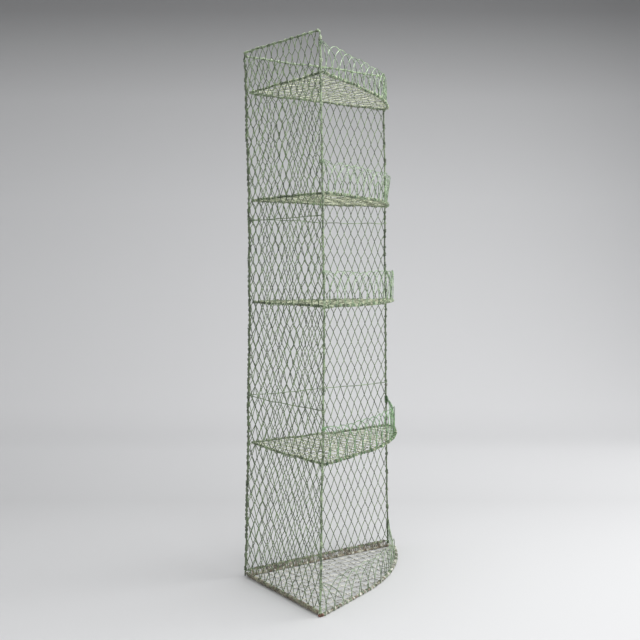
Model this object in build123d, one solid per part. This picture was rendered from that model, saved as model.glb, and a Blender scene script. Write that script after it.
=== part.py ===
from build123d import *
import math
import os

# Tall wirework corner stand: two flat lattice panels share a spine post, and five bow-fronted
# mesh shelves with hoop galleries fill the corner between them. Everything is wired together.
#
# Frame: the origin is the foot of the spine post on the floor, +Z is up, +X runs along the back
# panel, and -Y runs along the side panel, so the shelves bow towards +X and -Y.

os.makedirs("parts", exist_ok=True)

# Driving dimensions, in millimetres.
HEIGHT = 1800.0          # floor to the centre of the back top rail
SPINE_RISE = 12.0        # the side top rail starts this much higher, at the spine
BACK_WIDTH = 621.0       # spine post to back post, at half height
SIDE_WIDTH = 455.0       # spine post to side post
SIDE_BOW = 16.0          # the side panel bellies inwards by this much at half height
BACK_LEAN = 19.0         # the top of the back post leans inwards by this much

POST_D = 6.0
RAIL_D = 5.0
STAY_D = 3.0
WIRE_D = 2.6             # lattice and shelf mesh wire
HOOP_D = 2.6             # gallery hoop wire
RIM_D = 6.0
RIM_STAND_OFF = 0.8      # between a rim and the posts that it is lashed to
RIM_NOSE = 3.0           # the rim's side corner reaches this far past the side post's axis
BASE_RIM_D = 8.0
TIE_WALL = 2.0           # thickness of a binding of tie wire
TIE_LENGTH = 4.0
GAP = 0.2                # clearance between separate pieces

DIAMOND_HEIGHT = 67.6
BACK_DIAMOND = 32.0      # diamond width in the back panel
SIDE_DIAMOND = 36.0      # diamond width in the side panel
MESH_PITCH = 34.0        # shelf mesh
BACK_BOTTOM_RAIL_Z = 20.0
SIDE_BOTTOM_RAIL_Z = 14.0
TOP_BEND_R = 11.0        # bend of the side top rail, down on to the side post
SIDE_POST_STOP = 14.0    # the side post ends this far below the rail's top run
UPPER_STAY_Z = 1233.0
LOWER_STAY_Z = 625.0

HOOP_WIDTH = 175.0
HOOP_PITCH = 50.0
FIRST_HOOP = 8.0         # rim length from the side corner to the first full hoop
END_HOOP_FEET = (133.0, 83.0, 33.0)         # rim feet of the quarter hoops on the side post
BACK_END_BETWEEN = (2.5, 1.5, 0.5)          # feet on the back side, in pitches before the last
                                            # full hoop's foot; more follow at half the pitch
BACK_END_MARGIN = 24.0   # the last foot is at least this far from the back corner
END_HOOP_STEP = 3.2      # quarter hoops meet their post this far apart, the longest at the top
END_HOOP_RISE = 6.0      # the longest ones start from here above the crowns of the full hoops
END_HOOP_ANGLE = math.radians(35)   # how far round the post a quarter hoop ends

# Each shelf: name, height of its rim, bow vertex as a fraction of the chord, how far the vertex
# stands out from the chord, how far the back corner runs past the back post, gallery height,
# gallery outward lean, front length kept free of full hoops at the back, how round the quarter
# hoops there are (0.71 is a quarter circle, 0.5 is straight), and rim rod diameter.
SHELVES = (
    ("top_shelf", 1672.0, 0.70, 64.0, 13.0, 92.0, 0.0, 40.0, 0.71, RIM_D),
    ("second_shelf", 1301.0, 0.69, 82.0, 2.0, 99.0, 10.0, 40.0, 0.71, RIM_D),
    ("third_shelf", 949.0, 0.66, 102.0, 15.0, 108.0, 0.0, 40.0, 0.71, RIM_D),
    ("fourth_shelf", 463.0, 0.64, 121.0, 22.0, 110.0, 0.0, 125.0, 0.74, RIM_D),
    ("base_shelf", BASE_RIM_D / 2, 0.64, 121.0, 20.0, 95.0, 0.0, 125.0, 0.60, BASE_RIM_D),
)

# Derived dimensions.
SPINE_TOP = HEIGHT + SPINE_RISE
LAYER = WIRE_D / 2 + GAP / 4                    # two crossing families lie side by side
STAY_INSET = POST_D / 2 + STAY_D / 2 + GAP
FOOT_EXTRA = HOOP_D / 2 + 1.1                   # hoop foot axis, beyond the rim's surface
FOOT_RISE = LAYER + WIRE_D / 2 + 2 * GAP        # hoop feet end just above the mesh
RAIL_SPAN_INSET = POST_D / 2 + GAP
MIN_WIRE = 14.0
SPINE_CORNER_R = 10.0
SIDE_CORNER_R = 8.0
BACK_CORNER_R = 20.0


def side_x(z):
    """How far the side panel and the spine stand inwards at height z."""
    t = z / HEIGHT
    return 4 * SIDE_BOW * t * (1 - t)


def back_x(z):
    """Axis of the leaning back post at height z."""
    return BACK_WIDTH + BACK_LEAN * (0.5 - z / HEIGHT)


def side_rail_z(u):
    """Axis of the sloping side top rail at distance u from the spine."""
    return SPINE_TOP - SPINE_RISE * u / SIDE_WIDTH


def save(node, solids):
    solids = [s for shape in solids for s in shape.solids()]
    shape = solids[0] if len(solids) == 1 else Compound(children=solids)
    export_step(shape, os.path.join("parts", node + ".step"))


def straight_rod(start, end, diameter):
    start, end = Vector(*start), Vector(*end)
    run = end - start
    return Solid.make_cylinder(diameter / 2, run.length, Plane(origin=start, z_dir=run))


def bent_rod(path, diameter, flat_start=False):
    """Round rod along a path; a flat start keeps the first end level with the floor."""
    z_dir = Vector(0, 0, 1) if flat_start else path % 0
    return sweep(Plane(origin=path @ 0, z_dir=z_dir) * Circle(diameter / 2), path=path)


def tie_ring(centre, direction, rod_diameter):
    """Short binding of tie wire around a rod, centred on one point of it."""
    plane = Plane(origin=Vector(*centre) - Vector(*direction).normalized() * TIE_LENGTH / 2,
                  z_dir=Vector(*direction))
    outer = Solid.make_cylinder(rod_diameter / 2 + TIE_WALL, TIE_LENGTH, plane)
    inner = Solid.make_cylinder(rod_diameter / 2 + GAP / 4, TIE_LENGTH, plane)
    return outer.cut(inner)


def free_spots(blocked, start, stop, spacing):
    """Middles of the gaps between blocked intervals that take one tie ring each."""
    spots = []
    reached = start
    for low, high in sorted(blocked) + [(stop, stop)]:
        middle = (reached + low) / 2
        wide_enough = low - reached > TIE_LENGTH + 1
        if wide_enough and (not spots or middle - spots[-1] > spacing):
            spots.append(middle)
        reached = max(reached, high)
    return spots


# ---- Posts and rails -------------------------------------------------------------------------

def post_path(x, y, top):
    """Axis of a post whose x changes with height."""
    return ThreePointArc((x(0), y, 0), (x(top / 2), y, top / 2), (x(top), y, top))


def make_posts():
    save("spine_post", [bent_rod(post_path(side_x, 0, SPINE_TOP + RAIL_D / 2), POST_D, True)])
    side_top = HEIGHT - SIDE_POST_STOP
    save("side_post", [bent_rod(post_path(side_x, -SIDE_WIDTH, side_top), POST_D, True)])
    top = HEIGHT + RAIL_D / 2
    axis = Line((back_x(0), 0, 0), (back_x(top), 0, top))
    save("back_post", [bent_rod(axis, POST_D, True)])


def make_rails():
    inset = RAIL_SPAN_INSET
    side_end_z = HEIGHT - SIDE_POST_STOP + GAP
    top_path = FilletPolyline((0, -inset, side_rail_z(inset)), (0, -SIDE_WIDTH, HEIGHT),
                              (0, -SIDE_WIDTH, side_end_z), radius=TOP_BEND_R)
    save("side_top_rail", [bent_rod(top_path, RAIL_D)])
    low_x = side_x(SIDE_BOTTOM_RAIL_Z)
    save("side_bottom_rail", [straight_rod((low_x, -inset, SIDE_BOTTOM_RAIL_Z),
                                           (low_x, inset - SIDE_WIDTH, SIDE_BOTTOM_RAIL_Z), RAIL_D)])
    for node, z in (("back_top_rail", HEIGHT), ("back_bottom_rail", BACK_BOTTOM_RAIL_Z)):
        save(node, [straight_rod((side_x(z) + inset, 0, z), (back_x(z) - inset, 0, z), RAIL_D)])


def make_stays():
    """Two thin stays tie each panel across, inside it; the back one lies on the side one."""
    past_post = POST_D / 2 + 1
    near_spine = LAYER + WIRE_D / 2 + GAP
    for name, z in (("upper_stay", UPPER_STAY_Z), ("lower_stay", LOWER_STAY_Z)):
        x = side_x(z) + STAY_INSET
        save("side_" + name, [straight_rod((x, -near_spine, z), (x, -SIDE_WIDTH - past_post, z),
                                           STAY_D)])
        z_back = z + STAY_D + GAP
        save("back_" + name, [straight_rod((side_x(z) + near_spine, -STAY_INSET, z_back),
                                           (back_x(z) + past_post, -STAY_INSET, z_back), STAY_D)])


# ---- Lattice panels --------------------------------------------------------------------------

def lattice_runs(width, pitch, left, right, floor, ceiling, rising):
    """Heights of the two ends of each diagonal wire, with where it crosses z = 0."""
    slope = DIAMOND_HEIGHT / pitch * (1 if rising else -1)
    reach = DIAMOND_HEIGHT * math.ceil((SPINE_TOP + 40) / DIAMOND_HEIGHT) / abs(slope)
    first = pitch / 2 - reach if rising else pitch
    count = int((width + reach) / pitch) + 1
    runs = []
    for i in range(count):
        u0 = first + i * pitch
        inside = [z for z in range(0, int(SPINE_TOP) + 1)
                  if left(z) < u0 + z / slope < right(z)
                  and floor < z < ceiling(u0 + z / slope)]
        if inside and inside[-1] - inside[0] > MIN_WIRE:
            runs.append((u0, slope, inside[0], inside[-1]))
    return runs


def make_lattices():
    """Wires of the two panels; returns the run lists that the ties are fitted between."""
    post_clear = POST_D / 2 + WIRE_D / 2 + GAP
    rail_clear = RAIL_D / 2 + WIRE_D / 2 + GAP
    runs = {}
    for rising in (True, False):
        layer = LAYER if rising else -LAYER
        family = "rising" if rising else "falling"
        runs["back", rising] = lattice_runs(
            BACK_WIDTH, BACK_DIAMOND, lambda z: side_x(z) + post_clear,
            lambda z: back_x(z) - post_clear, BACK_BOTTOM_RAIL_Z + rail_clear,
            lambda u: HEIGHT - rail_clear, rising)
        save("back_lattice_" + family,
             [straight_rod((u + low / k, layer, low), (u + high / k, layer, high), WIRE_D)
              for u, k, low, high in runs["back", rising]])
        runs["side", rising] = lattice_runs(
            SIDE_WIDTH, SIDE_DIAMOND, lambda z: post_clear, lambda z: SIDE_WIDTH - post_clear,
            SIDE_BOTTOM_RAIL_Z + rail_clear,
            lambda u: side_rail_z(u) - rail_clear, rising)
        wires = []
        for u, k, low, high in runs["side", rising]:
            points = [(side_x(z) + layer, -(u + z / k), z) for z in (low, (low + high) / 2, high)]
            wires.append(bent_rod(ThreePointArc(*points), WIRE_D))
        save("side_lattice_" + family, wires)
    return runs


# ---- Ties ------------------------------------------------------------------------------------

def end_blocks(runs, panel, where):
    """Intervals taken up by wire ends along a post (heights) or a rail (distances)."""
    half = WIRE_D / 2 + GAP + 1
    width = BACK_WIDTH if panel == "back" else SIDE_WIDTH
    blocks = []
    for rising in (True, False):
        for u, k, low, high in runs[panel, rising]:
            for z in (low, high):
                at = u + z / k
                near_start, near_end = at < 30, at > width - 30
                if (where == "start_post" and near_start) or (where == "end_post" and near_end):
                    blocks.append((z - half - 1, z + half + 1))
                if (where == "bottom" and z == low) or (where == "top" and z == high):
                    blocks.append((at - half, at + half))
    return blocks


def make_ties(runs):
    crossings = []
    for _, z, _, _, _, gallery, _, _, _, rim_d in SHELVES:
        crossings.append((z - rim_d / 2 - 1, z + rim_d / 2 + 1))
        crossings.append((z + gallery / 2, z + gallery + 4 * HOOP_D))
    for z in (UPPER_STAY_Z, LOWER_STAY_Z):
        crossings.append((z - STAY_D, z + 3 * STAY_D))
    low, high = 40.0, HEIGHT - 30
    spine = end_blocks(runs, "back", "start_post") + end_blocks(runs, "side", "start_post")
    posts = (("spine_post_ties", spine, side_x, 0.0),
             ("side_post_ties", end_blocks(runs, "side", "end_post"), side_x, -SIDE_WIDTH),
             ("back_post_ties", end_blocks(runs, "back", "end_post"), back_x, 0.0))
    for node, blocks, x, y in posts:
        spots = free_spots(blocks + crossings, low, high, DIAMOND_HEIGHT / 2)
        save(node, [tie_ring((x(z), y, z), (x(z + 1) - x(z - 1), 0, 2), POST_D) for z in spots])

    tilt = (0, -SIDE_WIDTH, -SPINE_RISE)
    side_low = side_x(SIDE_BOTTOM_RAIL_Z)
    rails = (
        ("back_top_rail_ties", "back", "top", lambda u: (u, 0, HEIGHT), (1, 0, 0), 40.0, 600.0),
        ("back_bottom_rail_ties", "back", "bottom", lambda u: (u, 0, BACK_BOTTOM_RAIL_Z), (1, 0, 0),
         20.0, 610.0),
        ("side_top_rail_ties", "side", "top", lambda u: (0, -u, side_rail_z(u)), tilt,
         12.0, 430.0),
        ("side_bottom_rail_ties", "side", "bottom", lambda u: (side_low, -u, SIDE_BOTTOM_RAIL_Z),
         (0, -1, 0), 12.0, 440.0))
    for node, panel, edge, place, direction, start, stop in rails:
        spots = free_spots(end_blocks(runs, panel, edge), start, stop, BACK_DIAMOND / 3)
        save(node, [tie_ring(place(u), direction, RAIL_D) for u in spots])


# ---- Shelves ---------------------------------------------------------------------------------

def shelf_plan(z, vertex_at, vertex_out, overrun, rim_d):
    """Corners of the rim's centre line and the long radius of its bowed front."""
    inset = POST_D / 2 + RIM_STAND_OFF + rim_d / 2
    spine = Vector(side_x(z) + inset, -inset, z)
    side = Vector(side_x(z) + inset, -SIDE_WIDTH - RIM_NOSE, z)
    back = Vector(back_x(z) + overrun, -inset, z)
    chord = back - side
    outward = Vector(chord.Y, -chord.X).normalized()
    bow = side + chord * vertex_at + outward * vertex_out
    turn = (bow - side).get_angle(back - bow)
    back_turn = (back - bow).get_angle(spine - back)
    room = (back - bow).length - BACK_CORNER_R * math.tan(math.radians(back_turn / 2)) - 2
    bow_r = room / math.tan(math.radians(turn / 2))
    return spine, side, bow, back, bow_r


def across(points, axis, value):
    """Where a chain of plan points crosses one coordinate value; None if it doesn't."""
    other = 1 - axis
    for a, b in zip(points, points[1:]):
        if min(a[axis], b[axis]) <= value <= max(a[axis], b[axis]) and a[axis] != b[axis]:
            t = (value - a[axis]) / (b[axis] - a[axis])
            return a[other] + t * (b[other] - a[other])
    return None


def mesh_wires(z, spine, front, rim_d):
    """Two layers of straight wires that fill the rim, each stopping just inside it."""
    clear = rim_d / 2 + WIRE_D / 2 + GAP
    length = front.length
    edge = []
    steps = 120
    for i in range(steps + 1):
        s = length * i / steps
        point = front.position_at(s, position_mode=PositionMode.LENGTH)
        tangent = front.tangent_at(s, position_mode=PositionMode.LENGTH)
        edge.append((point.X - tangent.Y * clear, point.Y + tangent.X * clear))
    left, top = spine.X + clear, spine.Y - clear
    cross, depth = [], []
    for k in range(1, 40):
        y = spine.Y - k * MESH_PITCH
        x = across(edge, 1, y)
        if x is not None and y > -SIDE_WIDTH and x - left > MIN_WIRE:
            cross.append(straight_rod((left, y, z + LAYER), (x, y, z + LAYER), WIRE_D))
        x = spine.X + k * MESH_PITCH
        y = across(edge, 0, x)
        if y is not None and top - y > MIN_WIRE:
            depth.append(straight_rod((x, top, z - LAYER), (x, y, z - LAYER), WIRE_D))
    return cross, depth


def beside_rim(front, s, offset, z):
    """Point beside the bowed front, at rim length s; a positive offset is outside it."""
    point = front.position_at(s, position_mode=PositionMode.LENGTH)
    tangent = front.tangent_at(s, position_mode=PositionMode.LENGTH)
    return Vector(point.X + tangent.Y * offset, point.Y - tangent.X * offset, z)


def full_hoop(front, s, foot, z, gallery, lean):
    """Hoop with its first foot outside the rim and its second foot inside, crown over the rim."""
    start = beside_rim(front, s, foot, z)
    crown = beside_rim(front, s + HOOP_WIDTH / 2, lean, z + gallery)
    end = beside_rim(front, s + HOOP_WIDTH, -foot, z)
    return bent_rod(ThreePointArc(start, crown, end), HOOP_D)


def end_hoop(post_x, post_y, foot, end_z, side_of_post, roundness):
    """Quarter hoop from the outer side of a post down to one foot on the rim."""
    along = Vector(post_x(end_z) - foot.X, post_y - foot.Y).normalized()
    beside = Vector(along.Y, -along.X) * side_of_post
    off_post = beside * math.sin(END_HOOP_ANGLE) - along * math.cos(END_HOOP_ANGLE)
    end = Vector(post_x(end_z), post_y, end_z) + off_post * (POST_D / 2 + HOOP_D / 2 + GAP)
    middle = foot + (end - foot) * (1 - roundness)
    middle_z = foot.Z + (end_z - foot.Z) * roundness
    return bent_rod(ThreePointArc(foot, Vector(middle.X, middle.Y, middle_z), end), HOOP_D)


def make_shelf(name, z, vertex_at, vertex_out, overrun, gallery, lean, margin, roundness, rim_d):
    spine, side, bow, back, bow_r = shelf_plan(z, vertex_at, vertex_out, overrun, rim_d)
    rim_path = FilletPolyline(spine, side, bow, back, close=True,
                              radius=[SPINE_CORNER_R, SIDE_CORNER_R, bow_r, BACK_CORNER_R])
    save(name + "_rim", [bent_rod(rim_path, rim_d)])
    front = FilletPolyline(side, bow, back, radius=bow_r)
    cross, depth = mesh_wires(z, spine, front, rim_d)
    save(name + "_cross_wires", cross)
    save(name + "_depth_wires", depth)

    foot = rim_d / 2 + FOOT_EXTRA
    foot_z = z + FOOT_RISE
    hoops = []
    s = FIRST_HOOP
    while s + HOOP_WIDTH < front.length - margin:
        hoops.append(full_hoop(front, s, foot, foot_z, gallery, lean))
        s += HOOP_PITCH
    last_foot = s - HOOP_PITCH + HOOP_WIDTH
    back_feet = [last_foot - HOOP_PITCH * pitches for pitches in BACK_END_BETWEEN]
    foot_at = last_foot + HOOP_PITCH / 2
    while foot_at < front.length - BACK_END_MARGIN:
        back_feet.append(foot_at)
        foot_at += HOOP_PITCH / 2
    for feet, post_x, post_y, outer_side in ((END_HOOP_FEET, side_x, -SIDE_WIDTH, -1),
                                             (back_feet, back_x, 0.0, 1)):
        for k, at in enumerate(feet):
            end_z = z + gallery + END_HOOP_RISE - END_HOOP_STEP * (k + 1)
            hoops.append(end_hoop(post_x, post_y, beside_rim(front, at, -foot, foot_z), end_z,
                                  outer_side, roundness))
    save(name + "_hoops", hoops)
    return front.length, bow_r, len(hoops)


make_posts()
make_rails()
make_stays()
lattice = make_lattices()
make_ties(lattice)
for shelf in SHELVES:
    length, radius, count = make_shelf(*shelf)
    print(shelf[0], "front", round(length), "mm, bow radius", round(radius), "mm, hoops", count)
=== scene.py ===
"""Looks of the wirework corner stand: every rod, woven wire, hoop and binding as a round tube.

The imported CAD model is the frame. Its driving dimensions are repeated below in metres, and
heights and post places are read from it. All wires bend in one shared, slightly uneven field,
so that what touches stays touching.
"""

import math

import bpy
import numpy as np
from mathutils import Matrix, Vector


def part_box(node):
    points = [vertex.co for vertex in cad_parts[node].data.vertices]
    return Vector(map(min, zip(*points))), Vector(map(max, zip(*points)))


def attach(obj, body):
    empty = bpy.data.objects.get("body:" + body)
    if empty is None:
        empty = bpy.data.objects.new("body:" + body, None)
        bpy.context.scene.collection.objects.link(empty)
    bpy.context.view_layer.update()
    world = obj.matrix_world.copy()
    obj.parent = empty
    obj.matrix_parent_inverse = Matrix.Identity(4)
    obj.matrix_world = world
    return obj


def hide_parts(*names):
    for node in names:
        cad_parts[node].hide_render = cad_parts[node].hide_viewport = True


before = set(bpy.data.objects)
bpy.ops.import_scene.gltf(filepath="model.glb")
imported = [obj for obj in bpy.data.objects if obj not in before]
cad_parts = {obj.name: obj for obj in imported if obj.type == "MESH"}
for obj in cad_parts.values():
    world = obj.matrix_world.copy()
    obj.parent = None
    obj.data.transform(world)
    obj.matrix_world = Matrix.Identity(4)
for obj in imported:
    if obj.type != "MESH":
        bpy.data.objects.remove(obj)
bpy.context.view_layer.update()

# ---- Dimensions, in metres -------------------------------------------------------------------

POST_R = 0.0030
RAIL_R = 0.0025
STAY_R = 0.0015
WIRE_R = 0.0013
HOOP_R = 0.0013
TIE_R = 0.0010
RIM_STAND_OFF = 0.0008   # gap between a post or panel and a shelf rim
RIM_NOSE = 0.003         # a rim runs this far past the side post

DIAMOND_HEIGHT = 0.0676
BACK_DIAMOND = 0.032
SIDE_DIAMOND = 0.036
MESH_PITCH = 0.034
STAY_INSET = 0.0047
SPINE_RISE = 0.012
SIDE_BOW = 0.016
BACK_LEAN = 0.019
TOP_BEND_R = 0.011       # bend of the side top rail, down on to the side post
SIDE_POST_STOP = 0.014   # the side post ends this far below the rail's top run
LATTICE_CALM = 0.014     # lattice wires lose their crimp this near their ends
LATTICE_LIFT = 0.012     # and rise to pass beside the rod over this length
MESH_CALM = 0.012
MESH_LIFT = 0.011

HOOP_WIDTH = 0.175
HOOP_PITCH = 0.050
FIRST_HOOP = 0.008
END_HOOP_FEET = (0.133, 0.083, 0.033)
BACK_END_BETWEEN = (2.5, 1.5, 0.5)
BACK_END_MARGIN = 0.024
END_HOOP_STEP = 0.0032
END_HOOP_RISE = 0.006

SPINE_CORNER_R = 0.010
SIDE_CORNER_R = 0.008
BACK_CORNER_R = 0.020

# Shelf name: bow vertex as a fraction of the chord, vertex stand-out, overrun past the back post,
# gallery height, gallery outward lean, front length free of full hoops at the back, and how round
# the quarter hoops are (0.71 is a quarter circle, 0.5 is straight).
SHELVES = {
    "top_shelf": (0.70, 0.064, 0.013, 0.092, 0.000, 0.040, 0.71),
    "second_shelf": (0.69, 0.082, 0.002, 0.099, 0.010, 0.040, 0.71),
    "third_shelf": (0.66, 0.102, 0.015, 0.108, 0.000, 0.040, 0.71),
    "fourth_shelf": (0.64, 0.121, 0.022, 0.110, 0.000, 0.125, 0.78),
    "base_shelf": (0.64, 0.121, 0.020, 0.095, 0.000, 0.125, 0.60),
}


def middle(node):
    """Centre of a CAD node's box."""
    low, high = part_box(node)
    return (np.array(low) + np.array(high)) / 2


HEIGHT = middle("back_top_rail")[2]
SIDE_WIDTH = -middle("side_post")[1]
BACK_WIDTH = middle("back_post")[0]
BACK_BOTTOM_Z = middle("back_bottom_rail")[2]
SIDE_BOTTOM_Z = middle("side_bottom_rail")[2]

UP = np.array((0.0, 0.0, 1.0))
rng = np.random.default_rng(7)


def side_x(z):
    """How far the side panel and the spine stand inwards at height z."""
    t = z / HEIGHT
    return 4 * SIDE_BOW * t * (1 - t)


def back_x(z):
    """Axis of the leaning back post at height z."""
    return BACK_WIDTH + BACK_LEAN * (0.5 - z / HEIGHT)


def side_rail_z(u):
    """Axis of the sloping side top rail at distance u from the spine."""
    return HEIGHT + SPINE_RISE * (1 - u / SIDE_WIDTH)


# ---- Small vector and noise helpers ----------------------------------------------------------

def unit(v):
    return v / np.linalg.norm(v)


def ease(t):
    """Smooth step from 0 to 1."""
    t = np.clip(t, 0, 1)
    return t * t * (3 - 2 * t)


def waves(points, seed, length):
    """Smooth value between about -1 and 1, changing over the given length."""
    source = np.random.default_rng(seed)
    total = np.zeros(len(points))
    for _ in range(5):
        direction = unit(source.normal(size=3)) * 2 * math.pi / (length * source.uniform(0.7, 1.6))
        total += np.sin(points @ direction + source.uniform(0, 2 * math.pi))
    return total / 2.6


def settle(points):
    """The stand's hand-made unevenness: one smooth field for every piece, none at the floor."""
    points = np.asarray(points, float)
    rise = ease(points[:, 2] / 0.15)[:, None]
    shift = np.stack([waves(points, 11, 0.40) * 0.0022 + waves(points, 12, 0.09) * 0.0011,
                      waves(points, 13, 0.40) * 0.0022 + waves(points, 14, 0.09) * 0.0011,
                      waves(points, 15, 0.30) * 0.0020 + waves(points, 16, 0.08) * 0.0010], axis=1)
    return points + shift * rise


# ---- Tubes -----------------------------------------------------------------------------------

class Tubes:
    """Collects round tubes and turns them into one mesh object."""

    def __init__(self):
        self.points, self.faces, self.count = [], [], 0

    def add(self, path, radius, sides=8, closed=False, lumps=0.05):
        path = settle(path)
        path[:, 2] = np.maximum(path[:, 2], radius)
        n = len(path)
        if closed:
            tangent = np.roll(path, -1, 0) - np.roll(path, 1, 0)
        else:
            tangent = np.gradient(path, axis=0)
        tangent /= np.linalg.norm(tangent, axis=1)[:, None]
        first = np.cross(tangent[0], UP if abs(tangent[0][2]) < 0.9 else np.array((1.0, 0, 0)))
        normals = [unit(first)]
        for i in range(1, n):
            normal = normals[-1] - tangent[i] * (normals[-1] @ tangent[i])
            normals.append(normal / math.sqrt(normal @ normal))
        normals = np.array(normals)
        sideways = np.cross(tangent, normals)
        size = radius * (1 + lumps * waves(path, 21, 0.02))
        angle = np.arange(sides) * 2 * math.pi / sides
        ring = (normals[:, None, :] * np.cos(angle)[None, :, None]
                + sideways[:, None, :] * np.sin(angle)[None, :, None])
        self.points.append((path[:, None, :] + ring * size[:, None, None]).reshape(-1, 3))
        near = np.arange(n if closed else n - 1)[:, None] * sides
        far = (np.arange(n if closed else n - 1)[:, None] + 1) % n * sides
        a, b = np.arange(sides)[None, :], (np.arange(sides)[None, :] + 1) % sides
        if closed:
            # A closed rod's last ring may be turned against its first, so match the nearest corner.
            shift = np.zeros_like(far)
            shift[-1] = int(np.argmax(ring[0] @ ring[-1][0]))
            quads = np.stack([near + a, near + b, far + (b + shift) % sides,
                              far + (a + shift) % sides], axis=-1)
        else:
            quads = np.stack([near + a, near + b, far + b, far + a], axis=-1)
        self.faces.extend((quads.reshape(-1, 4) + self.count).tolist())
        if not closed:
            self.faces.append([self.count + k for k in range(sides)][::-1])
            self.faces.append([self.count + (n - 1) * sides + k for k in range(sides)])
        self.count += n * sides

    def build(self, name, slot, *nodes, look=None):
        """Makes one object, in place of the CAD nodes if any are named. Its paint is the one
        named by look, or else by its slot."""
        mesh = bpy.data.meshes.new(name)
        mesh.from_pydata(np.concatenate(self.points).tolist(), [], self.faces)
        mesh.update()
        mesh.shade_smooth()
        piece = bpy.data.objects.new(name, mesh)
        bpy.context.collection.objects.link(piece)
        mesh.materials.append(LOOKS[look or slot])
        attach(piece, "root")
        if nodes:
            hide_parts(*nodes)


def line(start, end, step=0.012):
    """Evenly spaced points from start to end."""
    start, end = np.array(start, float), np.array(end, float)
    n = max(2, int(np.linalg.norm(end - start) / step) + 1)
    return start + (end - start) * np.linspace(0, 1, n)[:, None]


def coil(axis_point, axis, over, heading, reach, turns, pitch, forward):
    """Wire end wound round a rod. It starts on the rod's side that over points to, moves off
    along heading, and works its way along the axis by forward plus a pitch for each turn."""
    steps = max(6, int(turns * 14))
    angle = np.linspace(0, turns * 2 * math.pi, steps)
    along = forward * 0.6 * reach * (1 - np.exp(-angle / 0.6))
    along = along + math.copysign(pitch, forward) * angle / (2 * math.pi)
    return (axis_point + axis * along[:, None]
            + (over * np.cos(angle)[:, None] + heading * np.sin(angle)[:, None]) * reach)


def wind_on(tubes, point, axis, over, travel, rod_r, wire_r, turns, stub=0.0, sides=8):
    """Winds a wire that arrives in direction travel, beside a rod, on to the rod. Its cut end
    stands off by the length of stub."""
    across = travel - axis * (travel @ axis)
    across = unit(across - over * (across @ over))
    slope = np.clip((travel @ axis) / max(travel @ across, 0.25), -2.5, 2.5)
    if abs(slope) < 0.05:
        slope = 0.05
    path = coil(point, axis, over, across, rod_r + wire_r, turns, 2.15 * wire_r, slope)
    if stub:
        step = path[-1] - path[-2]
        off = unit(step + 0.3 * unit(path[-1] - point) * np.linalg.norm(step))
        path = np.concatenate([path, path[-1] + off * (np.linspace(0.25, 1, 4) * stub)[:, None]])
    tubes.add(path, wire_r, sides)


# ---- Posts, rails and stays ------------------------------------------------------------------

def post_axis(x, y, top):
    z = np.linspace(0, top, int(top / 0.012))
    return np.stack([x(z), np.full_like(z, y), z], axis=1)


def make_posts():
    places = {"spine_post": (side_x, 0.0), "side_post": (side_x, -SIDE_WIDTH),
              "back_post": (back_x, 0.0)}
    for node, (x, y) in places.items():
        tubes = Tubes()
        tubes.add(post_axis(x, y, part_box(node)[1][2]), POST_R, 14, lumps=0.03)
        tubes.build(node + "_rod", "frame_rod", node, look="dark_frame_rod" if y == 0 else None)


def make_rails():
    bend = TOP_BEND_R
    arc = np.linspace(0, math.pi / 2, 8)
    corner = np.stack([np.zeros(8), -SIDE_WIDTH + bend - bend * np.sin(arc),
                       HEIGHT - bend + bend * np.cos(arc)], axis=1)
    top = np.concatenate([line((0, 0, side_rail_z(0)), (0, bend - SIDE_WIDTH, HEIGHT))[:-1],
                          corner, [(0, -SIDE_WIDTH, HEIGHT - SIDE_POST_STOP)]])
    low_x = side_x(SIDE_BOTTOM_Z)
    rods = {
        "side_top_rail": (top, "frame_rod"),
        "side_bottom_rail": (line((low_x, 0, SIDE_BOTTOM_Z), (low_x, -SIDE_WIDTH, SIDE_BOTTOM_Z)),
                             "rusty_rod"),
        "back_top_rail": (line((side_x(HEIGHT), 0, HEIGHT), (back_x(HEIGHT), 0, HEIGHT)), "frame_rod"),
        "back_bottom_rail": (line((side_x(BACK_BOTTOM_Z), 0, BACK_BOTTOM_Z),
                                  (back_x(BACK_BOTTOM_Z), 0, BACK_BOTTOM_Z)), "frame_rod"),
    }
    for node, (path, look) in rods.items():
        tubes = Tubes()
        tubes.add(path, RAIL_R, 12, lumps=0.04)
        tubes.build(node + "_rod", look, node)


def make_stays():
    """Thin stays across each panel, wound on to the posts at both ends."""
    for name in ("upper_stay", "lower_stay"):
        z = middle("side_" + name)[2]
        x = side_x(z) + STAY_INSET
        tubes = Tubes()
        path = line((x, 0, z), (x, -SIDE_WIDTH, z), 0.01)
        path[:, 2] -= 0.002 * np.sin(np.linspace(0, math.pi, len(path)))
        tubes.add(path, STAY_R)
        for y, travel in ((0.0, 1.0), (-SIDE_WIDTH, -1.0)):
            wind_on(tubes, np.array((side_x(z), y, z)), UP, np.array((1.0, 0, 0)),
                    np.array((0, travel, -0.1)), POST_R, STAY_R, 1.6)
        tubes.build("side_" + name + "_wire", "frame_rod", "side_" + name)

        z = middle("back_" + name)[2]
        tubes = Tubes()
        path = line((side_x(z), -STAY_INSET, z), (back_x(z), -STAY_INSET, z), 0.01)
        path[:, 2] -= 0.002 * np.sin(np.linspace(0, math.pi, len(path)))
        tubes.add(path, STAY_R)
        for x, travel in ((side_x(z), -1.0), (back_x(z), 1.0)):
            wind_on(tubes, np.array((x, 0, z)), UP, np.array((0, -1.0, 0)),
                    np.array((travel, 0, 0.1)), POST_R, STAY_R, 1.6)
        tubes.build("back_" + name + "_wire", "frame_rod", "back_" + name)


# ---- Woven lattice panels --------------------------------------------------------------------

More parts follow.
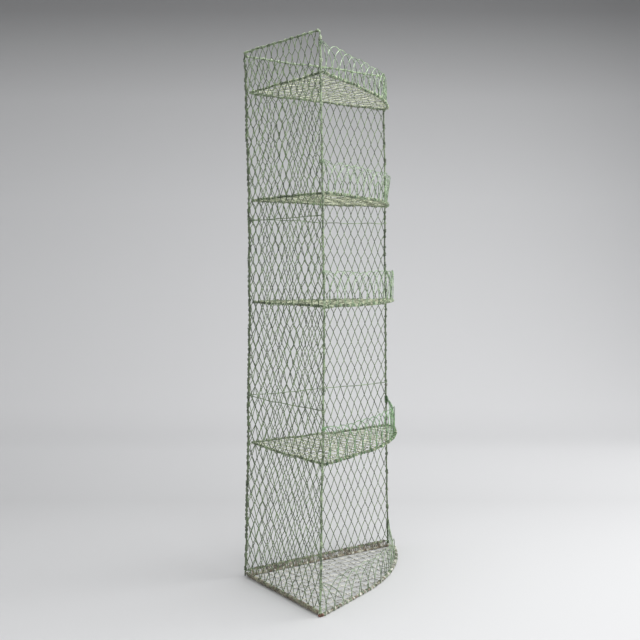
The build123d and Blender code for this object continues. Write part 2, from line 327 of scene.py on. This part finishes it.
class Panel:
    """One flat lattice panel: u runs from the spine, w stands out of the panel, z is height."""

    def __init__(self, name, pitch, left, right, bottom, top, place, crimp):
        self.name, self.pitch, self.crimp = name, pitch, crimp
        self.left, self.right, self.bottom, self.top, self.place = left, right, bottom, top, place

    def ends(self, u0, rate):
        """Where the line u = u0 + rate z meets a rod at its low end and at its high end."""
        entering, leaving = (self.left, self.right) if rate > 0 else (self.right, self.left)
        z_in, z_out = 0.0, HEIGHT
        for _ in range(12):
            z_in = (entering(z_in) - u0) / rate
            z_out = (leaving(z_out) - u0) / rate
        low = (z_in, "post") if z_in > self.bottom else (self.bottom, "bottom")
        top = self.top(u0 + rate * HEIGHT)
        high = (z_out, "post") if z_out < top else (top, "top")
        return low, high

    def point(self, u, w, z):
        """One point of the panel."""
        return self.place(*(np.array([v], float) for v in (u, w, z)))[0]


def lattice_wire(panel, u0, rate, ends, over):
    """Path of one diagonal wire, crimped and woven, that passes beside the rods at its ends."""
    (z0, low_rod), (z1, high_rod) = ends
    rising = math.copysign(1, rate)
    z = np.linspace(z0, z1, max(4, int((z1 - z0) / 0.0042)))
    u = u0 + rate * z
    phase = math.pi * (z / (DIAMOND_HEIGHT / 2) - 0.5)
    flat = np.stack([u, np.zeros_like(z), z], axis=1)
    amount = panel.crimp * (1 + 0.5 * waves(flat, 31, 0.3)) * (0.3 + z / HEIGHT)
    calm = ease(np.minimum(z - z0, z1 - z) / LATTICE_CALM)
    u = u - rising * amount * np.sin(2 * phase) * calm
    weave = rising * WIRE_R * np.cos(phase) * calm
    for rod, from_end in ((low_rod, z - z0), (high_rod, z1 - z)):
        reach = (POST_R if rod == "post" else RAIL_R) + WIRE_R
        weave = weave + over * reach * (1 - ease(from_end / LATTICE_LIFT))
    return panel.place(u, weave, z)


def wind_lattice_end(panel, bindings, end, u0, rate, upward, over):
    """Winds one end of a lattice wire on to the post or rail that it reaches."""
    z, rod = end
    u = u0 + rate * z
    back = 0.03 * upward
    point = panel.point(u, 0, z)
    travel = unit(point - panel.point(u - rate * back, 0, z - back))
    side = unit(panel.point(u, over, z) - point)
    if rod == "post":
        post = "spine_post" if u < BACK_WIDTH / 3 else panel.name + "_post"
        group, axis, rod_r = post + "_ties", UP, POST_R
    else:
        group, rod_r = f"{panel.name}_{rod}_rail_ties", RAIL_R
        axis = unit(panel.point(u + 0.01, 0, z) - point)
    wind_on(bindings[group], point, axis, side, travel, rod_r, WIRE_R, rng.uniform(2.2, 3.2),
            rng.uniform(0.001, 0.0045) if rod == "post" else 0.0)


def make_panel(panel, bindings):
    reach = panel.pitch * math.ceil((HEIGHT + SPINE_RISE + 0.04) / DIAMOND_HEIGHT)
    for family, rising in (("rising", 1), ("falling", -1)):
        rate = rising * panel.pitch / DIAMOND_HEIGHT
        first = 0.5 * panel.pitch - reach if rising > 0 else panel.pitch
        tubes = Tubes()
        for i in range(int((BACK_WIDTH + reach) / panel.pitch) + 1):
            u0 = first + i * panel.pitch
            low, high = panel.ends(u0, rate)
            if high[0] - low[0] < 0.012:
                continue
            over = -1.0 if i % 2 else 1.0
            tubes.add(lattice_wire(panel, u0, rate, (low, high), over), WIRE_R)
            wind_lattice_end(panel, bindings, low, u0, rate, -1, over)
            wind_lattice_end(panel, bindings, high, u0, rate, 1, over)
        node = f"{panel.name}_lattice_{family}"
        # The look picks a paint by wire direction: painted light on the rising wires, painted shade on
        # the falling wires.
        tubes.build(node + "_wires", "lattice_wire", node, look=family + "_lattice_wire")


def make_lattices():
    groups = ("spine_post_ties", "side_post_ties", "back_post_ties", "side_top_rail_ties",
              "side_bottom_rail_ties", "back_top_rail_ties", "back_bottom_rail_ties")
    bindings = {group: Tubes() for group in groups}
    make_panel(Panel("back", BACK_DIAMOND, side_x, back_x, BACK_BOTTOM_Z, lambda u: HEIGHT,
                     lambda u, w, z: np.stack([u, w + 0 * z, z + 0 * u], axis=1), 0.0008), bindings)
    make_panel(Panel("side", SIDE_DIAMOND, lambda z: 0.0, lambda z: SIDE_WIDTH, SIDE_BOTTOM_Z,
                     side_rail_z,
                     lambda u, w, z: np.stack([side_x(z) + w, -u + 0 * z, z + 0 * u], axis=1),
                     0.0020), bindings)
    for group, tubes in bindings.items():
        dark = group in ("spine_post_ties", "back_post_ties")
        tubes.build(group + "_windings", "tie_wire", group, look="rim_rod" if dark else None)


# ---- Shelves ---------------------------------------------------------------------------------

def rounded(corners, radii, closed, step=0.006):
    """Points along straight runs joined by tangent arcs at the corners."""
    corners = [np.array(c, float) for c in corners]
    n = len(corners)
    path = [] if closed else [corners[0]]
    for i in range(n) if closed else range(1, n - 1):
        here, before, after = corners[i], corners[i - 1], corners[(i + 1) % n]
        back, on = unit(before - here), unit(after - here)
        half_turn = (math.pi - math.acos(np.clip(back @ on, -1, 1))) / 2
        radius = radii[i]
        setback = radius * math.tan(half_turn)
        centre = here + unit(back + on) * radius / math.cos(half_turn)
        steps = max(5, int(2 * half_turn * radius / step))
        start, end = here + back * setback - centre, here + on * setback - centre
        for t in np.linspace(0, 1, steps):
            a, b = math.sin((1 - t) * 2 * half_turn), math.sin(t * 2 * half_turn)
            path.append(centre + (start * a + end * b) / math.sin(2 * half_turn))
    if not closed:
        path.append(corners[-1])
    dense = []
    ring = path + [path[0]] if closed else path
    for a, b in zip(ring, ring[1:]):
        pieces = max(1, int(np.linalg.norm(b - a) / step))
        dense.extend(a + (b - a) * k / pieces for k in range(pieces))
    if not closed:
        dense.append(path[-1])
    return np.array(dense)


class Shelf:
    """Plan of one shelf: its rim, its bowed front, and places along it."""

    def __init__(self, name):
        self.name = name
        at, out, overrun, self.gallery, self.lean, self.margin, roundness = SHELVES[name]
        self.curl = -2 * math.log(roundness) / math.log(2)
        low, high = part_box(name + "_rim")
        self.z = (low[2] + high[2]) / 2
        self.rim_r = (high[2] - low[2]) / 2
        self.extra_turns = 1.3 if name == "base_shelf" else 0.0
        inset = POST_R + RIM_STAND_OFF + self.rim_r
        z = self.z
        self.spine = np.array((side_x(z) + inset, -inset, z))
        side = np.array((side_x(z) + inset, -SIDE_WIDTH - RIM_NOSE, z))
        back = np.array((back_x(z) + overrun, -inset, z))
        chord = back - side
        bow = side + chord * at + unit(np.array((chord[1], -chord[0], 0))) * out
        turn = math.acos(unit(bow - side) @ unit(back - bow))
        back_turn = math.acos(unit(back - bow) @ unit(self.spine - back))
        room = np.linalg.norm(back - bow) - BACK_CORNER_R * math.tan(back_turn / 2) - 0.002
        bow_r = room / math.tan(turn / 2)
        self.rim = rounded([self.spine, side, bow, back],
                           [SPINE_CORNER_R, SIDE_CORNER_R, bow_r, BACK_CORNER_R], True)
        self.front = rounded([side, bow, back], [0, bow_r, 0], False, 0.003)
        steps = np.linalg.norm(np.diff(self.front, axis=0), axis=1)
        self.reach = np.concatenate([[0], np.cumsum(steps)])
        self.length = self.reach[-1]

    def at(self, s):
        """Points of the front at rim lengths s."""
        s = np.atleast_1d(s)
        return np.stack([np.interp(s, self.reach, self.front[:, k]) for k in range(3)], axis=1)

    def tangent(self, s):
        s = np.atleast_1d(s)
        run = self.at(np.minimum(s + 0.004, self.length)) - self.at(np.maximum(s - 0.004, 0))
        return run / np.linalg.norm(run, axis=1)[:, None]

    def outward(self, s):
        run = self.tangent(s)
        return np.stack([run[:, 1], -run[:, 0], 0 * run[:, 0]], axis=1)

    def across(self, axis, value):
        """Where the front crosses x = value (axis 0) or y = value (axis 1), and its tangent."""
        signs = self.front[:, axis] - value
        hits = np.nonzero(signs[:-1] * signs[1:] <= 0)[0]
        if not len(hits):
            return None
        i = hits[0]
        t = signs[i] / (signs[i] - signs[i + 1])
        point = self.front[i] + (self.front[i + 1] - self.front[i]) * t
        return point, unit(self.front[i + 1] - self.front[i])


def mesh_wire(wires, windings, shelf, start, start_axis, end, end_axis, sign, over):
    """One woven shelf wire between two stretches of rim, wound on to the rim at both ends."""
    run = end - start
    length = np.linalg.norm(run)
    travel = run / length
    t = np.linspace(0, length, max(6, int(length / 0.0045)))
    phase = math.pi * t / MESH_PITCH
    to_end = np.minimum(t, length - t)
    reach = shelf.rim_r + WIRE_R
    lift = sign * WIRE_R * np.cos(phase) * ease(to_end / MESH_CALM)
    lift = lift + over * reach * (1 - ease(to_end / MESH_LIFT))
    path = start + travel * t[:, None] + UP * lift[:, None]
    wires.add(path, WIRE_R)
    for point, axis, heading in ((start, start_axis, -travel), (end, end_axis, travel)):
        wind_on(windings, point, axis, UP * over, heading, shelf.rim_r, WIRE_R,
                rng.uniform(1.2, 1.7) + shelf.extra_turns)


def make_mesh(shelf):
    cross, depth, windings = Tubes(), Tubes(), Tubes()
    x_axis, y_axis = np.array((1.0, 0, 0)), np.array((0, 1.0, 0))
    for k in range(1, 40):
        parity = -1.0 if k % 2 else 1.0
        y = shelf.spine[1] - k * MESH_PITCH
        hit = shelf.across(1, y)
        if hit and y > -SIDE_WIDTH and hit[0][0] - shelf.spine[0] > 0.014:
            start = np.array((shelf.spine[0], y, shelf.z))
            mesh_wire(cross, windings, shelf, start, y_axis, hit[0], hit[1], parity, 1.0)
        x = shelf.spine[0] + k * MESH_PITCH
        hit = shelf.across(0, x)
        if hit and shelf.spine[1] - hit[0][1] > 0.014:
            start = np.array((x, shelf.spine[1], shelf.z))
            mesh_wire(depth, windings, shelf, start, x_axis, hit[0], hit[1], -parity, -1.0)
    look = "base_mesh_wire" if shelf.name == "base_shelf" else "mesh_wire"
    cross.build(shelf.name + "_cross_mesh", "mesh_wire", shelf.name + "_cross_wires", look=look)
    depth.build(shelf.name + "_depth_mesh", "mesh_wire", shelf.name + "_depth_wires", look=look)
    windings.build(shelf.name + "_rim_windings", "mesh_wire", look=look)


def quarter_hoop(tubes, shelf, at, top, outer_side):
    """Part hoop from one foot on the rim up to a post, wound on to both."""
    foot = shelf.rim_r + HOOP_R
    inward = -shelf.outward(at)[0]
    start = shelf.at(at)[0] + inward * foot
    run = (top - start) * np.array((1.0, 1.0, 0))
    distance = np.linalg.norm(run)
    along = run / distance
    beside = np.array((along[1], -along[0], 0)) * outer_side
    swing = np.linspace(0, math.pi / 2, 26)
    r = distance * (1 - np.cos(swing) ** shelf.curl)
    rise = (top[2] - shelf.z) * np.sin(swing) ** shelf.curl
    path = start + along * r[:, None] + UP * rise[:, None]
    path = path + beside * ((POST_R + HOOP_R) * ease(r / distance * 3 - 2))[:, None]
    tubes.add(path, HOOP_R)
    wind_on(tubes, top, UP, beside, along - 0.2 * UP, POST_R, HOOP_R, 1.5)
    wind_on(tubes, shelf.at(at)[0], shelf.tangent(at)[0], inward, -UP, shelf.rim_r, HOOP_R, 1.6)


def make_hoops(shelf):
    tubes = Tubes()
    foot = shelf.rim_r + HOOP_R
    s0 = FIRST_HOOP
    while s0 + HOOP_WIDTH < shelf.length - shelf.margin:
        swing = np.linspace(0, math.pi, 44)
        width = HOOP_WIDTH + rng.uniform(-0.006, 0.006)
        height = shelf.gallery * rng.uniform(0.965, 1.03)
        s = s0 + width / 2 * (1 - np.cos(swing))
        offset = foot * np.cos(swing) + shelf.lean * np.sin(swing)
        path = shelf.at(s) + shelf.outward(s) * offset[:, None]
        path = path + UP * (height * np.sin(swing))[:, None]
        tubes.add(path, HOOP_R)
        for at, side in ((s0, 1.0), (s0 + width, -1.0)):
            axis = shelf.tangent(at)[0] * (1.0 if side > 0 else -1.0)
            wind_on(tubes, shelf.at(at)[0], axis, shelf.outward(at)[0] * side, -UP, shelf.rim_r,
                    HOOP_R, rng.uniform(1.3, 2.1))
        s0 += HOOP_PITCH
    last_foot = s0 - HOOP_PITCH + HOOP_WIDTH
    back_feet = [last_foot - HOOP_PITCH * pitches for pitches in BACK_END_BETWEEN]
    back_feet += list(np.arange(last_foot + HOOP_PITCH / 2, shelf.length - BACK_END_MARGIN,
                                HOOP_PITCH / 2))
    for feet, post_x, post_y, outer_side in ((END_HOOP_FEET, side_x, -SIDE_WIDTH, -1.0),
                                             (back_feet, back_x, 0.0, 1.0)):
        for k, at in enumerate(feet):
            top_z = shelf.z + shelf.gallery + END_HOOP_RISE - END_HOOP_STEP * (k + 1)
            quarter_hoop(tubes, shelf, at, np.array((post_x(top_z), post_y, top_z)), outer_side)
    own = shelf.name + "_hoops"
    tubes.build(shelf.name + "_gallery", "hoop_wire", own, look=own if own in LOOKS else None)


def loop_round(tubes, a, b, axis, reach_a, reach_b, turns):
    """Loose turns of tie wire round two rods side by side, whose axes pass through a and b."""
    between = unit(b - a)
    aside = unit(np.cross(axis, between))
    angle = np.linspace(0, 2 * math.pi * turns, int(turns * 20)) + rng.uniform(0, 2 * math.pi)
    middle = (a - between * reach_a + b + between * reach_b) / 2
    half_long = np.linalg.norm(b - a) / 2 + (reach_a + reach_b) / 2
    half_wide = (reach_a + reach_b) / 2
    travel = (angle - angle.mean()) / (2 * math.pi) * 2.3 * TIE_R
    path = (middle + between * (half_long * np.cos(angle))[:, None]
            + aside * (half_wide * np.sin(angle))[:, None] + axis * travel[:, None])
    tubes.add(path, TIE_R)


def tie_to_panels(shelf):
    """Binds the two straight sides of a rim to the panels: to the bottom rails at the base, and
    to the lattice wires higher up."""
    tubes = Tubes()
    base = shelf.name == "base_shelf"
    spacing, loose = (0.009, 0.0015) if base else (0.018, 0.0)
    reach = shelf.rim_r + TIE_R
    panel_reach = (RAIL_R if base else WIRE_R) + TIE_R + loose
    panel_x = side_x(shelf.z)
    x_axis, y_axis = np.array((1.0, 0, 0)), np.array((0, 1.0, 0))
    for y in np.arange(-0.02, 0.012 - SIDE_WIDTH, -spacing):
        y += rng.uniform(-0.003, 0.003)
        rim = np.array((shelf.spine[0], y, shelf.z))
        wire = np.array((panel_x, y, SIDE_BOTTOM_Z if base else shelf.z + rng.uniform(-0.004, 0.004)))
        loop_round(tubes, wire, rim, y_axis, panel_reach, reach, rng.uniform(1.2, 2.4))
    for x in np.arange(panel_x + 0.02, back_x(shelf.z) - 0.012, spacing):
        x += rng.uniform(-0.003, 0.003)
        rim = np.array((x, shelf.spine[1], shelf.z))
        wire = np.array((x, 0.0, BACK_BOTTOM_Z if base else shelf.z + rng.uniform(-0.004, 0.004)))
        loop_round(tubes, wire, rim, x_axis, panel_reach, reach, rng.uniform(1.2, 2.4))
    tubes.build(shelf.name + "_panel_ties", "tie_wire", look="base_tie_wire" if base else None)


def lashing(tubes, post, rim, rim_axis, rim_r):
    """Crossed turns of tie wire that bind a rim to a post."""
    gap = rim - post
    between = unit(gap)
    centre = (post + rim) / 2
    half_long = np.linalg.norm(gap) / 2 + max(POST_R, rim_r) + TIE_R
    for diagonal in (1.0, -1.0):
        cross = unit(UP + diagonal * rim_axis)
        sideways = np.cross(between, cross)
        angle = np.linspace(0, 2 * math.pi * 2.5, 60)
        path = (centre + between * (half_long * np.cos(angle))[:, None]
                + cross * (0.0052 * np.sin(angle))[:, None]
                + sideways * ((angle / (2 * math.pi) - 1.25) * 2.2 * TIE_R)[:, None])
        tubes.add(path, TIE_R)


def make_shelf(name):
    shelf = Shelf(name)
    rim = Tubes()
    rim.add(shelf.rim, shelf.rim_r, 12, closed=True, lumps=0.04)
    rim.build(name + "_rim_rod", "rusty_rod" if name == "base_shelf" else "rim_rod", name + "_rim")
    make_mesh(shelf)
    make_hoops(shelf)
    tie_to_panels(shelf)
    lash = Tubes()
    z = shelf.z
    x_axis, y_axis = np.array((1.0, 0, 0)), np.array((0, 1.0, 0))
    inset = POST_R + RIM_STAND_OFF + shelf.rim_r
    side = np.array((side_x(z), -SIDE_WIDTH, z))
    back = np.array((back_x(z), 0.0, z))
    lashing(lash, side, side + x_axis * inset, y_axis, shelf.rim_r)
    lashing(lash, back, back - y_axis * inset, x_axis, shelf.rim_r)
    lash.build(name + "_lashings", "tie_wire", look="rust_wire" if name == "base_shelf" else None)


# ---- Materials -------------------------------------------------------------------------------

class Nodes:
    """Short way to write a material's node tree."""

    def __init__(self, name):
        self.material = bpy.data.materials.new(name)
        self.material.use_nodes = True
        self.tree = self.material.node_tree
        self.shader = self.tree.nodes["Principled BSDF"]
        self.place = self.tree.nodes.new("ShaderNodeTexCoord").outputs["Object"]

    def noise(self, scale, detail=3.0, rough=0.55):
        node = self.tree.nodes.new("ShaderNodeTexNoise")
        node.inputs["Scale"].default_value = scale
        node.inputs["Detail"].default_value = detail
        node.inputs["Roughness"].default_value = rough
        self.tree.links.new(self.place, node.inputs["Vector"])
        return node.outputs["Fac"]

    def ramp(self, value, *stops):
        node = self.tree.nodes.new("ShaderNodeValToRGB")
        ramp = node.color_ramp
        while len(ramp.elements) < len(stops):
            ramp.elements.new(0.5)
        for element, (position, colour) in zip(ramp.elements, stops):
            element.position = position
            element.color = (*colour, 1)
        self.tree.links.new(value, node.inputs["Fac"])
        return node.outputs["Color"]

    def mix(self, factor, a, b):
        node = self.tree.nodes.new("ShaderNodeMix")
        node.data_type = "RGBA"
        self.tree.links.new(factor, node.inputs["Factor"])
        self.tree.links.new(a, node.inputs["A"])
        self.tree.links.new(b, node.inputs["B"])
        return node.outputs["Result"]

    def bump(self, height, strength, distance):
        node = self.tree.nodes.new("ShaderNodeBump")
        node.inputs["Strength"].default_value = strength
        node.inputs["Distance"].default_value = distance
        self.tree.links.new(height, node.inputs["Height"])
        self.tree.links.new(node.outputs["Normal"], self.shader.inputs["Normal"])

    def to(self, value, socket):
        self.tree.links.new(value, self.shader.inputs[socket])


def grey(value):
    return (value, value, value)


def old_paint(name, light, dark, rust, rust_from, rust_to):
    """Brushed-on paint in random patches and flecks of a pale and a deep tone, partly the paint's own
    uneven tone and partly painted highlights and painted shade, and worn through to rust in places.
    """
    n = Nodes(name)
    # Pale and deep patches and flecks at random: uneven paint, and also painted highlights and painted
    # shade on the wires.
    patches = n.ramp(n.noise(45, 4), (0.44, dark), (0.57, light))
    flecks = n.ramp(n.noise(260, 3), (0.42, dark), (0.60, light))
    paint = n.mix(n.ramp(n.noise(110, 2), (0.40, grey(0.1)), (0.60, grey(0.9))), patches, flecks)
    rust_tone = n.ramp(n.noise(300, 4), (0.3, tuple(c * 0.45 for c in rust)), (0.7, rust))
    worn = n.ramp(n.noise(70, 6, 0.7), (rust_from, grey(0)), (rust_to, grey(1)))
    n.to(n.mix(worn, paint, rust_tone), "Base Color")
    n.to(n.mix(worn, n.ramp(n.noise(220, 2), (0.3, grey(0.20)), (0.7, grey(0.46))),
               n.ramp(n.noise(220, 2), (0.3, grey(0.75)), (0.7, grey(0.95)))), "Roughness")
    n.bump(n.noise(650, 5, 0.65), 0.55, 0.0005)
    n.shader.inputs["Specular IOR Level"].default_value = 0.8
    return n.material


PALE = (0.48, 0.58, 0.38)
DEEP = (0.055, 0.080, 0.040)
RUST = (0.21, 0.12, 0.075)
TAN = (0.42, 0.36, 0.24)

LOOKS = {
    "frame_rod": old_paint("frame_rod_paint", (0.36, 0.48, 0.28), DEEP, RUST, 0.63, 0.74),
    "dark_frame_rod": old_paint("dark_frame_rod_paint", (0.24, 0.31, 0.18), (0.035, 0.048, 0.026),
                                RUST, 0.61, 0.73),
    "rim_rod": old_paint("rim_rod_paint", (0.19, 0.26, 0.14), (0.035, 0.052, 0.024), TAN, 0.58, 0.70),
    "rusty_rod": old_paint("rusty_rod_paint", (0.55, 0.54, 0.42), (0.16, 0.15, 0.10), RUST,
                           0.47, 0.60),
    # Lattice wires are painted by direction: the rising wires lighter, as painted light, and the
    # falling wires darker, as painted shade, for wires that face towards or away from the light.
    "rising_lattice_wire": old_paint("rising_lattice_painted_light", (0.26, 0.38, 0.17),
                                     (0.034, 0.052, 0.022), TAN, 0.67, 0.77),
    "falling_lattice_wire": old_paint("falling_lattice_painted_shade", (0.16, 0.24, 0.10),
                                      (0.024, 0.036, 0.016), TAN, 0.68, 0.78),
    "mesh_wire": old_paint("mesh_wire_paint", (0.76, 0.80, 0.57), (0.08, 0.11, 0.05), TAN,
                           0.56, 0.70),
    "base_mesh_wire": old_paint("base_mesh_wire_paint", (0.97, 0.95, 0.85), (0.12, 0.13, 0.09), RUST,
                                0.60, 0.72),
    "hoop_wire": old_paint("hoop_wire_paint", (0.50, 0.66, 0.41), (0.035, 0.080, 0.03), TAN,
                           0.68, 0.80),
    "fourth_shelf_hoops": old_paint("fourth_shelf_hoop_paint", (0.30, 0.52, 0.25),
                                    (0.045, 0.10, 0.04), TAN, 0.68, 0.80),
    "base_shelf_hoops": old_paint("base_shelf_hoop_paint", (0.44, 0.56, 0.37), (0.05, 0.085, 0.04),
                                  TAN, 0.60, 0.74),
    "base_tie_wire": old_paint("base_tie_wire_paint", (0.50, 0.46, 0.34), (0.08, 0.075, 0.05), RUST,
                               0.52, 0.66),
    "rust_wire": old_paint("rust_wire_coat", (0.30, 0.11, 0.07), (0.10, 0.04, 0.03), RUST,
                           0.50, 0.60),
    "tie_wire": old_paint("tie_wire_paint", PALE, DEEP, TAN, 0.60, 0.72),
}


# ---- Studio ----------------------------------------------------------------------------------

def sweep_material():
    """Paper in painted light and shade along the sweep: a bright floor with a darker band, then darker
    up a grey wall, for the fall-off of the light.
    """
    n = Nodes("studio_sweep")
    along = n.tree.nodes.new("ShaderNodeVectorMath")
    along.operation = "DOT_PRODUCT"
    along.inputs[1].default_value = (*SWEEP_AWAY[:2], 1.0)
    n.tree.links.new(n.place, along.inputs[0])
    reach = n.tree.nodes.new("ShaderNodeMapRange")
    reach.inputs["From Min"].default_value, reach.inputs["From Max"].default_value = SWEEP_TONED
    n.tree.links.new(along.outputs["Value"], reach.inputs["Value"])
    # The ramp paints light and shade on the sweep by distance along it.
    stops = [(at, tuple(tone * tint for tint in SWEEP_TINT)) for at, tone in SWEEP_PAINTED_SHADE]
    n.to(n.ramp(reach.outputs["Result"], *stops), "Base Color")
    n.shader.inputs["Roughness"].default_value = 0.95
    n.shader.inputs["Specular IOR Level"].default_value = 0.1
    return n.material


SWEEP_AWAY = np.array((0.568, 0.824, 0.0))
SWEEP_TONED = (-2.0, 8.0)
SWEEP_TINT = (0.993, 0.996, 1.006)
# Brightness along the sweep: painted light on the floor, a band of painted shade, and painted shade
# darkening up the wall.
SWEEP_PAINTED_SHADE = ((0.15, 0.66), (0.305, 0.59), (0.42, 0.72), (0.53, 0.755), (0.70, 0.70), (0.78, 0.66),
               (0.86, 0.54), (0.90, 0.40), (0.93, 0.28), (1.0, 0.20))


def make_studio():
    """Pale floor that sweeps up into a wall behind the stand."""
    bend, depth, tall, half_width = 1.6, 4.2, 6.0, 9.0
    profile = [(-6.0, 0.0)] + [(depth - bend + bend * math.sin(a), bend - bend * math.cos(a))
                               for a in np.linspace(0, math.pi / 2, 16)] + [(depth, tall)]
    right = np.array((SWEEP_AWAY[1], -SWEEP_AWAY[0], 0.0))
    points = []
    for far, z in profile:
        for side in (-half_width, half_width):
            points.append(tuple(SWEEP_AWAY * far + right * side + UP * (z - 0.0005)))
    faces = [(2 * i, 2 * i + 1, 2 * i + 3, 2 * i + 2) for i in range(len(profile) - 1)]
    mesh = bpy.data.meshes.new("studio_sweep")
    mesh.from_pydata(points, [], faces)
    mesh.shade_smooth()
    mesh.materials.append(sweep_material())
    sweep = bpy.data.objects.new("studio_sweep", mesh)
    bpy.context.collection.objects.link(sweep)


def area_light(name, place, target, size, power, colour=(1, 1, 1)):
    data = bpy.data.lights.new(name, "AREA")
    data.shape, data.size, data.size_y = "RECTANGLE", size[0], size[1]
    data.energy, data.color = power, colour
    light = bpy.data.objects.new(name, data)
    light.location = place
    light.rotation_euler = (Vector(target) - Vector(place)).to_track_quat("-Z", "Y").to_euler()
    bpy.context.collection.objects.link(light)


def make_lights():
    centre = (0.25, -0.2, 0.9)
    area_light("overhead_softbox", (0.6, -0.6, 3.4), centre, (2.4, 2.4), 70)
    area_light("right_softbox", (3.4, -1.6, 1.9), centre, (1.6, 2.6), 72)
    area_light("front_softbox", (-0.6, -3.9, 2.4), centre, (2.0, 2.0), 25)
    world = bpy.data.worlds.new("studio_air")
    world.use_nodes = True
    world.node_tree.nodes["Background"].inputs["Color"].default_value = (0.985, 0.99, 1.0, 1)
    world.node_tree.nodes["Background"].inputs["Strength"].default_value = 0.55
    bpy.context.scene.world = world


def make_camera():
    """Level camera at about chest height, in front of the side post."""
    data = bpy.data.cameras.new("studio_camera")
    data.sensor_width, data.lens = 36.0, 52.9
    data.shift_y = -0.086
    camera = bpy.data.objects.new("studio_camera", data)
    camera.location = (-1.635, -2.828, 1.078)
    heading = math.atan2(-0.568, 0.824)
    camera.rotation_euler = (math.pi / 2, 0, heading)
    bpy.context.collection.objects.link(camera)
    bpy.context.scene.camera = camera


make_posts()
make_rails()
make_stays()
make_lattices()
for shelf_name in SHELVES:
    make_shelf(shelf_name)
make_studio()
make_lights()
make_camera()
bpy.context.scene.view_settings.view_transform = "Standard"
